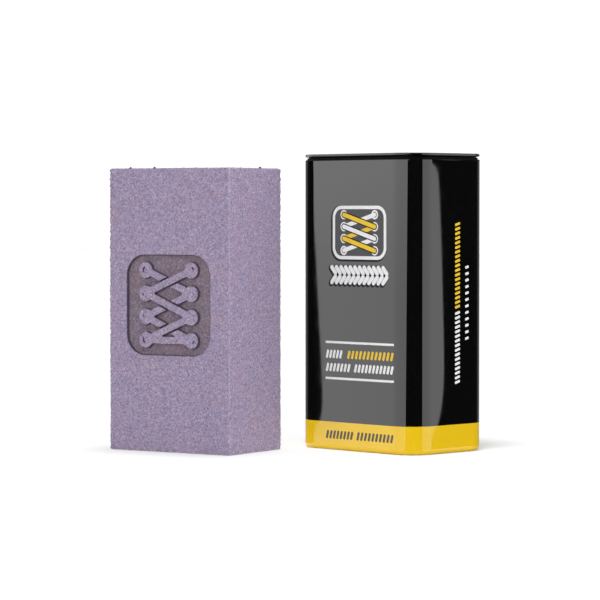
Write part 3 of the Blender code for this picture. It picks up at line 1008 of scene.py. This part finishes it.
class ERASER_OT_bottom(bpy.types.Operator):
    """Stamp the bottom pan: a flange on the wall's foot and a raised floor"""

    bl_idname = "eraser.bottom"
    bl_label = "Bottom Pan"

    def execute(self, context):
        sizes = context.scene.eraser_tin_sizes
        edge = sizes.foot_radius
        small = sizes.floor_step_radius
        large = small + sizes.sheet
        centres = (sizes.floor_step_inset - small, sizes.floor_step_inset + large)
        flange_bottom = PAN_LOW.z
        flange_top = flange_bottom + sizes.sheet
        pan = rounded_slab("bottom_pan", edge, flange_bottom, flange_top)
        upper = rising_step(centres, flange_top, PAN_HIGH.z, small, large)
        lower = rising_step(centres, flange_bottom, PAN_HIGH.z - sizes.sheet, large, small)
        draw_face(pan, True, [(edge, flange_top)] + upper)
        draw_face(pan, False, [(edge, flange_bottom)] + lower)
        give_finishes(pan, "tinplate")
        smooth(pan)
        dress(pan, "tin", "tin_bottom")
        return {"FINISHED"}


class ERASER_OT_neck(bpy.types.Operator):
    """Form the neck ring that the lid plugs into"""

    bl_idname = "eraser.neck"
    bl_label = "Neck Ring"

    def execute(self, context):
        sheet = context.scene.eraser_tin_sizes.sheet
        outer = NECK_LOW.x - WALL_LOW.x
        edge = NECK_HIGH.z - sheet / 2
        neck = rounded_slab("neck_sleeve", outer, NECK_LOW.z, edge)
        lip = bend((outer + sheet / 2, edge), sheet / 2, 180, 0)
        draw_face(neck, True, lip + [(outer + sheet, NECK_LOW.z)])
        draw_face(neck, False, [(outer, NECK_LOW.z), (outer + sheet, NECK_LOW.z)])
        edit(neck)
        open_caps(neck)
        merge_doubles()
        leave_edit()
        give_finishes(neck, "dull_lacquer")
        smooth(neck)
        dress(neck, "tin", "tin_neck_ring")
        return {"FINISHED"}


class ERASER_OT_lid(bpy.types.Operator):
    """Form the plug lid: a stepped panel inside a rolled rim, with its skirt below"""

    bl_idname = "eraser.lid"
    bl_label = "Plug Lid"

    def execute(self, context):
        sizes = context.scene.eraser_tin_sizes
        sheet = sizes.sheet
        rim = sizes.rim_height / 2
        top = LID_HIGH.z
        rim_bottom = top - sizes.rim_height
        rim_middle = top - rim
        skirt_outer = NECK_LOW.x - WALL_LOW.x + sheet + sizes.seat_gap
        skirt_inner = skirt_outer + sheet
        rim_inner = skirt_inner + sheet
        panel_top = top - sizes.panel_drop
        raised_top = panel_top + sizes.lid_step_height
        fillet = sizes.panel_drop - sizes.rim_round
        small = sizes.lid_step_radius
        large = small + sheet
        centres = (sizes.lid_step_inset - small, sizes.lid_step_inset + large)

        lid = rounded_slab("stamped_lid", 0.0, rim_middle - NEAR_PLACE, rim_middle + NEAR_PLACE)
        upper = [(0.0, rim_middle + NEAR_PLACE)] + bend((rim, rim_middle), rim, 180, 90)[1:]
        upper += bend((rim_inner - sizes.rim_round, top - sizes.rim_round), sizes.rim_round, 90, 0)
        upper += bend((rim_inner + fillet, panel_top + fillet), fillet, 180, 270)
        upper += rising_step(centres, panel_top, raised_top, small, large)
        draw_face(lid, True, upper)
        edge = LID_LOW.z + sheet / 2
        lower = [(0.0, rim_middle - NEAR_PLACE)] + bend((rim, rim_middle), rim, 180, 270)[1:]
        lower += [(skirt_outer, rim_bottom)] + bend((skirt_outer + sheet / 2, edge), sheet / 2, 180, 360)
        lower += [(skirt_inner, panel_top - sheet)]
        lower += rising_step(centres, panel_top - sheet, raised_top - sheet, large, small)
        draw_face(lid, False, lower)
        give_finishes(lid, "lacquer", "tinplate", "dull_lacquer")

        def is_bare(face):
            place = face.calc_center_median()
            return (face.normal.z < FACES_DOWN and place.z > panel_top - sheet - NEAR_PLACE
                    and abs(place.x - TIN_MIDDLE.x) < TIN_HALF.x - skirt_inner
                    and abs(place.y - TIN_MIDDLE.y) < TIN_HALF.y - skirt_inner)

        def is_skirt(face):
            return LID_LOW.z - NEAR_PLACE < face.calc_center_median().z < rim_bottom - NEAR_PLACE

        paint(lid, 1, is_bare)
        paint(lid, 2, is_skirt)
        smooth(lid)
        dress(lid, "lid", "tin_lid")
        return {"FINISHED"}


def flat_mark(length, width, rounding):
    """A flat mark with rounded corners that lies on the X and Y plane, about the origin."""
    select_only()
    bpy.ops.mesh.primitive_plane_add(size=1.0)
    mark = bpy.context.object
    mark.scale = (length, width, 1.0)
    settle(mark)
    edit(mark)
    bpy.ops.mesh.select_all(action="SELECT")
    rounding = min(rounding, MOST_ROUNDING * min(length, width))
    bpy.ops.mesh.bevel(offset=rounding, segments=ROUNDING_STEPS, affect="VERTICES")
    leave_edit()
    return mark


def hollow_out(mark, border):
    """Leaves only a border of a flat mark."""
    edit(mark)
    bpy.ops.mesh.select_mode(type="FACE")
    bpy.ops.mesh.select_all(action="SELECT")
    bpy.ops.mesh.inset(thickness=border, depth=0.0, use_even_offset=True)
    bpy.ops.mesh.delete(type="FACE")
    leave_edit()
    return mark


def flat_ring(radius, border):
    select_only()
    bpy.ops.mesh.primitive_circle_add(vertices=RING_POINTS, radius=radius, fill_type="NGON")
    return hollow_out(bpy.context.object, border)


def copies(mark, places):
    """Copies of a flat mark, each with its own mesh, at places of (across, up, lean)."""
    made = []
    for across, up, lean in places:
        select_only(mark)
        bpy.ops.object.duplicate(linked=False)
        twin = bpy.context.object
        twin.location = (across, up, 0.0)
        twin.rotation_euler = (0.0, 0.0, lean)
        made.append(settle(twin))
    bpy.data.objects.remove(mark)
    return made


def shifted(places):
    """Places moved to where the dark outline behind a print goes."""
    return [(across + SHADOW_SHIFT.x, up + SHADOW_SHIFT.y, lean) for across, up, lean in places]


def lay_ink(name, marks, ink, layer, side=False):
    """Lays flat marks on the wall as one printed piece, a number of ink layers thick.

    The marks' X runs across the face from its middle, and their Y runs up from the standing surface.
    """
    thickness = bpy.context.scene.eraser_tin_sizes.ink
    piece = join(marks, name)
    edit(piece)
    xs = [point.co.x for point in bmesh.from_edit_mesh(piece.data).verts]
    ys = [point.co.y for point in bmesh.from_edit_mesh(piece.data).verts]
    slice_piece(0, even_levels(min(xs), max(xs), INK_SLICE_WIDTH))
    slice_piece(1, even_levels(min(ys), max(ys), INK_SLICE_HEIGHT))
    leave_edit()
    if side:
        piece.location = (WALL_HIGH.x + INK_STAND_OFF, TIN_MIDDLE.y, 0.0)
    else:
        piece.location = (TIN_MIDDLE.x, WALL_LOW.y - INK_STAND_OFF, 0.0)
    piece.rotation_euler = (math.pi / 2, 0.0, math.pi / 2 if side else 0.0)
    settle(piece)
    lift = thickness * layer
    wall = bpy.data.objects["lacquered_wall"]
    apply_modifier(piece, "SHRINKWRAP", target=wall, wrap_method="PROJECT", wrap_mode="ABOVE_SURFACE",
                   use_project_x=side, use_project_y=not side, use_project_z=False,
                   use_positive_direction=not side, use_negative_direction=side, offset=lift)
    apply_modifier(piece, "SOLIDIFY", thickness=lift + thickness / 4, offset=-1.0)
    give_finishes(piece, ink)
    smooth(piece, INK_SMOOTH_ANGLE)
    dress(piece, "tin")


def stitch_places(start, end, up, pitch, lean):
    """Evenly spaced places of stitches from one end of a row to the other."""
    count = round((end - start) / pitch)
    return [(start + (end - start) * step / count, up, lean) for step in range(count + 1)]


def badge_spot(side, row):
    """The middle of a printed eyelet: side is -1 or 1, and rows count from the top."""
    return BADGE_PLACE + Vector((side * EYELET_REACH, ((BADGE_ROWS - 1) / 2 - row) * EYELET_PITCH))


def flat_lace(start, end, width):
    """A printed lace of a width from one place to another."""
    heading = end - start
    middle = (start + end) / 2
    lace = flat_mark(heading.length + width, width, width / 2)
    return copies(lace, [(middle.x, middle.y, math.atan2(heading.y, heading.x))])


class ERASER_OT_badge(bpy.types.Operator):
    """Print the lacing badge on the tin's front"""

    bl_idname = "eraser.badge"
    bl_label = "Printed Badge"

    def execute(self, context):
        middle = [(BADGE_PLACE.x, BADGE_PLACE.y, 0.0)]
        width, height = BADGE_SIZE
        grown = 2 * OUTLINE_WIDTH
        ground = flat_mark(width + grown, height + grown, BADGE_ROUNDING + OUTLINE_WIDTH)
        lay_ink("badge_outline", copies(ground, shifted(middle)), "outline", 1)
        field = flat_mark(width - BADGE_FRAME, height - BADGE_FRAME, BADGE_ROUNDING - BADGE_FRAME / 2)
        lay_ink("badge_field", copies(field, middle), "grey", 2)
        whites = copies(hollow_out(flat_mark(width, height, BADGE_ROUNDING), BADGE_FRAME), middle)
        spots = [badge_spot(side, row) for side in (-1, 1) for row in range(BADGE_ROWS)]
        whites += copies(flat_ring(EYELET_RADIUS, EYELET_RIM), [(spot.x, spot.y, 0.0) for spot in spots])
        lay_ink("badge_frame", whites, "white", 3)

        under = {"white": [], "yellow": []}
        over = {"white": [], "yellow": []}
        edging = []
        for row in range(BADGE_ROWS - 1):
            side = 1 if row % 2 else -1
            strands = {
                "yellow": (badge_spot(side, row), badge_spot(-side, row + 1)),
                "white": (badge_spot(-side, row), badge_spot(side, row + 1)),
            }
            upper, lower = ("white", "yellow") if row % 2 else ("yellow", "white")
            under[lower] += flat_lace(*strands[lower], LACE_WIDTH)
            edging += flat_lace(*strands[upper], LACE_WIDTH + 2 * LACE_OUTLINE)
            over[upper] += flat_lace(*strands[upper], LACE_WIDTH)
        for ink in ("white", "yellow"):
            lay_ink("badge_under_" + ink, under[ink], ink, 4)
        lay_ink("badge_lace_edging", edging, "outline", 5)
        for ink in ("white", "yellow"):
            lay_ink("badge_over_" + ink, over[ink], ink, 6)
        return {"FINISHED"}


class ERASER_OT_front_print(bpy.types.Operator):
    """Print the plaited band, the rules and the rows of stitches on the tin's front"""

    bl_idname = "eraser.front_print"
    bl_label = "Front Print"

    def execute(self, context):
        pitch = (PLAIT_END - PLAIT_START) / PLAIT_STRANDS
        places = []
        for strand in range(PLAIT_STRANDS):
            across = PLAIT_START + (strand + 0.5) * pitch
            places.append((across, PLAIT_PLACE + PLAIT_ROW_SHIFT, -PLAIT_LEAN))
            places.append((across, PLAIT_PLACE - PLAIT_ROW_SHIFT, PLAIT_LEAN))
        width = PLAIT_WIDTH + 2 * OUTLINE_WIDTH
        outline = flat_mark(PLAIT_LENGTH + 2 * OUTLINE_WIDTH, width, width / 2)
        lay_ink("plait_outline", copies(outline, shifted(places)), "outline", 1)
        strand = flat_mark(PLAIT_LENGTH, PLAIT_WIDTH, PLAIT_WIDTH / 2)
        lay_ink("plait_print", copies(strand, places), "white", 2)

        rule_middle = (RULE_START + RULE_END) / 2
        rule = flat_mark(RULE_END - RULE_START, RULE_WIDTH, RULE_WIDTH / 5)
        lay_ink("rule_print", copies(rule, [(rule_middle, up, 0.0) for up in RULE_PLACES]), "white", 1)

        for name, ink, runs in STITCH_ROWS:
            places = []
            for start, end, up in runs:
                places += stitch_places(start, end, up, STITCH_PITCH, math.pi / 2 - STITCH_LEAN)
            stitch = flat_mark(STITCH_LENGTH, STITCH_WIDTH, STITCH_WIDTH / 3)
            lay_ink(name, copies(stitch, places), ink, 1)
        return {"FINISHED"}


class ERASER_OT_side_print(bpy.types.Operator):
    """Print the lines of stitches that run up the tin's side"""

    bl_idname = "eraser.side_print"
    bl_label = "Side Print"

    def execute(self, context):
        for name, ink, length, across, start, end, pitch in SIDE_LINES:
            rows = stitch_places(start, end, across, pitch, STITCH_LEAN)
            stitch = flat_mark(length, SIDE_STITCH_WIDTH, STITCH_WIDTH / 4)
            places = [(across, up, lean) for up, across, lean in rows]
            lay_ink(name, copies(stitch, places), ink, 1, side=True)
        return {"FINISHED"}


def band(tree, light, ends, soft, rising, falling):
    """A light that one angle turns on at the first end, and another turns off at the second."""
    rise = spread(tree, rising, 0.0, 1.0, ends[0] - soft, ends[0] + soft, True)
    fall = spread(tree, falling, 1.0, 0.0, ends[1] - soft, ends[1] + soft, True)
    return maths(tree, "MULTIPLY", maths(tree, "MULTIPLY", rise, fall), light)


def screen_light(tree):
    """What the gloss shows: pale screens among dark surroundings, under a pale ceiling."""
    parts = add_node(tree, "ShaderNodeSeparateXYZ")
    feed(tree, parts.inputs["Vector"], add_node(tree, "ShaderNodeTexCoord").outputs["Generated"])
    azimuth = maths(tree, "ARCTAN2", parts.outputs["Y"], parts.outputs["X"])
    azimuth = maths(tree, "SUBTRACT", maths(tree, "DEGREES", azimuth), GLOSS_START)
    azimuth = maths(tree, "FLOORED_MODULO", azimuth, 360.0)
    elevation = maths(tree, "DEGREES", maths(tree, "ARCSINE", parts.outputs["Z"]))

    most_slant = WIDE_SCREEN_SLANT * SLANT_REACH
    slant = spread(tree, elevation, -most_slant, most_slant, -SLANT_REACH, SLANT_REACH)
    slanted = maths(tree, "SUBTRACT", azimuth, slant)
    steepness = maths(tree, "ABSOLUTE", elevation)
    spreading = spread(tree, steepness, 0.0, 1.0, *SPREADING_START, True)
    widened = maths(tree, "ADD", azimuth, maths(tree, "MULTIPLY", spreading, WIDE_SPREADING))
    brightness = spread(tree, elevation, WIDE_LIGHT, WIDE_LIGHT * WIDE_LIGHT_RISE, *WIDE_LIGHT_HEIGHTS)
    wide = band(tree, brightness, WIDE_SCREEN, SCREEN_SOFT, widened, slanted)
    drawn_in = maths(tree, "SUBTRACT", azimuth, maths(tree, "MULTIPLY", spreading, NARROW_SPREADING))
    narrow = band(tree, NARROW_LIGHT, NARROW_SCREEN, NARROW_SOFT, azimuth, drawn_in)
    behind = band(tree, BACKDROP_LIGHT, BACKDROP, BACKDROP_SOFT / 2, azimuth, azimuth)
    screens = maths(tree, "ADD", maths(tree, "ADD", wide, narrow), behind)
    screens = maths(tree, "ADD", screens, DARK_LIGHT)
    screens = band(tree, screens, SCREEN_HEIGHT, SCREEN_HEIGHT_SOFT / 2, elevation, elevation)
    return maths(tree, "ADD", screens, spread(tree, elevation, 0.0, CEILING_LIGHT, *CEILING_START, True))


def studio_world(fill):
    """Soft even light, screens that only the gloss shows, and white where the camera looks past the table."""
    world = bpy.data.worlds.new("studio")
    bpy.context.scene.world = world
    world.use_nodes = True
    world.cycles.sampling_method = "NONE"
    tree = world.node_tree
    tree.nodes.clear()

    def background(light):
        node = add_node(tree, "ShaderNodeBackground", {"Color": (1.0, 1.0, 1.0, 1.0)})
        feed(tree, node.inputs["Strength"], light)
        return node.outputs["Background"]

    def mixed(*values):
        node = add_node(tree, "ShaderNodeMixShader")
        for socket, value in zip(node.inputs, values):
            feed(tree, socket, value)
        return node.outputs["Shader"]

    rays = add_node(tree, "ShaderNodeLightPath").outputs
    lit = mixed(rays["Is Glossy Ray"], background(fill), background(screen_light(tree)))
    whole = mixed(rays["Is Camera Ray"], lit, background(SEEN_LIGHT))
    feed(tree, add_node(tree, "ShaderNodeOutputWorld").inputs["Surface"], whole)


def piece_group(name, pieces):
    """A group of pieces, for a lamp that is kept to them."""
    group = bpy.data.collections.new(name)
    for piece in pieces:
        group.objects.link(piece)
    return group


def add_lamp(name, place, aim, power, width=0.0):
    """A round soft lamp, or with no width a sun, hidden from the camera and the gloss."""
    turn = (aim - place).to_track_quat("-Z", "Y").to_euler()
    select_only()
    bpy.ops.object.light_add(type="AREA" if width else "SUN", location=place, rotation=turn)
    lamp = bpy.context.object
    lamp.name = name
    lamp.data.energy = power
    if width:
        lamp.data.shape = "DISK"
        lamp.data.size = width
    else:
        lamp.data.angle = SUN_ANGLE
    lamp.visible_camera = False
    lamp.visible_glossy = False
    return lamp


class ERASER_OT_stage(bpy.types.Operator):
    """Set up the white table, the light and the camera"""

    bl_idname = "eraser.stage"
    bl_label = "Table, Light and Camera"

    def execute(self, context):
        studio = context.scene.eraser_studio
        select_only()
        bpy.ops.mesh.primitive_plane_add(size=TABLE_SIZE, location=(0.0, 0.0, -NEAR_PLACE))
        floor = settle(name_piece(bpy.context.object, "table"))
        give_finishes(floor, "table")
        eraser = (bpy.data.objects["crumb_block"], bpy.data.objects["loose_crumbs"])
        for piece in (floor, *eraser):
            piece.visible_glossy = False

        wall = bpy.data.objects["lacquered_wall"]
        tin = (wall, bpy.data.objects["stamped_lid"])
        add_lamp("key_lamp", KEY_PLACE, TIN_MIDDLE, studio.key_power, KEY_WIDTH)
        lamps = (
            ("side_lamp", SIDE_LAMP_PLACE, BLOCK_MIDDLE, studio.side_power, SIDE_LAMP_WIDTH, eraser, eraser),
            ("edge_lamp", EDGE_LAMP_PLACE, TIN_MIDDLE, studio.edge_power, EDGE_LAMP_WIDTH, (wall,), (wall,)),
            ("tin_sun", TIN_SUN_PLACE, TABLE_MIDDLE, studio.tin_sun, 0.0, (floor,), tin),
            ("block_sun", BLOCK_SUN_PLACE, TABLE_MIDDLE, studio.block_sun, 0.0, (floor,), eraser),
        )
        for name, place, aim, power, width, lit, shading in lamps:
            lamp = add_lamp(name, place, aim, power, width)
            lamp.light_linking.receiver_collection = piece_group("lit_by_" + name, lit)
            lamp.light_linking.blocker_collection = piece_group("shading_" + name, shading)

        heading = (math.pi / 2 - studio.camera_dip, 0.0, studio.camera_heading)
        bpy.ops.object.camera_add(location=studio.camera_place, rotation=heading)
        camera = bpy.context.object
        camera.data.lens = studio.lens
        camera.data.sensor_width = SENSOR_WIDTH
        camera.data.clip_start = CLIP_START
        camera.data.clip_end = CLIP_END
        context.scene.camera = camera
        studio_world(studio.fill)
        context.scene.view_settings.view_transform = "Standard"
        return {"FINISHED"}


PIECE_OPERATORS = (
    ERASER_OT_block,
    ERASER_OT_crumbs,
    ERASER_OT_wall,
    ERASER_OT_seam,
    ERASER_OT_bottom,
    ERASER_OT_neck,
    ERASER_OT_lid,
    ERASER_OT_badge,
    ERASER_OT_front_print,
    ERASER_OT_side_print,
    ERASER_OT_stage,
)
GROUPS = {
    "eraser_block_sizes": EraserBlockSizes,
    "eraser_tin_sizes": EraserTinSizes,
    "eraser_colours": EraserColours,
    "eraser_studio": EraserStudio,
}


class VIEW3D_PT_eraser(bpy.types.Panel):
    """Lists the pieces of the eraser and its tin"""

    bl_label = "Suede Eraser and Tin"
    bl_idname = "VIEW3D_PT_eraser"
    bl_space_type = "VIEW_3D"
    bl_region_type = "UI"
    bl_category = "Eraser"

    def draw(self, context):
        for operator in PIECE_OPERATORS:
            self.layout.operator(operator.bl_idname)
        for group in GROUPS:
            box = self.layout.box()
            values = getattr(context.scene, group)
            for name in values.__annotations__:
                box.prop(values, name)


CLASSES = (*GROUPS.values(), *PIECE_OPERATORS, VIEW3D_PT_eraser)


def register():
    for kind in CLASSES:
        bpy.utils.register_class(kind)
    for name, group in GROUPS.items():
        setattr(bpy.types.Scene, name, PointerProperty(type=group))


def unregister():
    for name in GROUPS:
        delattr(bpy.types.Scene, name)
    for kind in reversed(CLASSES):
        bpy.utils.unregister_class(kind)


def main():
    register()
    bpy.ops.eraser.block()
    bpy.ops.eraser.crumbs()
    bpy.ops.eraser.wall()
    bpy.ops.eraser.seam()
    bpy.ops.eraser.bottom()
    bpy.ops.eraser.neck()
    bpy.ops.eraser.lid()
    bpy.ops.eraser.badge()
    bpy.ops.eraser.front_print()
    bpy.ops.eraser.side_print()
    bpy.ops.eraser.stage()


if __name__ == "__main__":
    main()
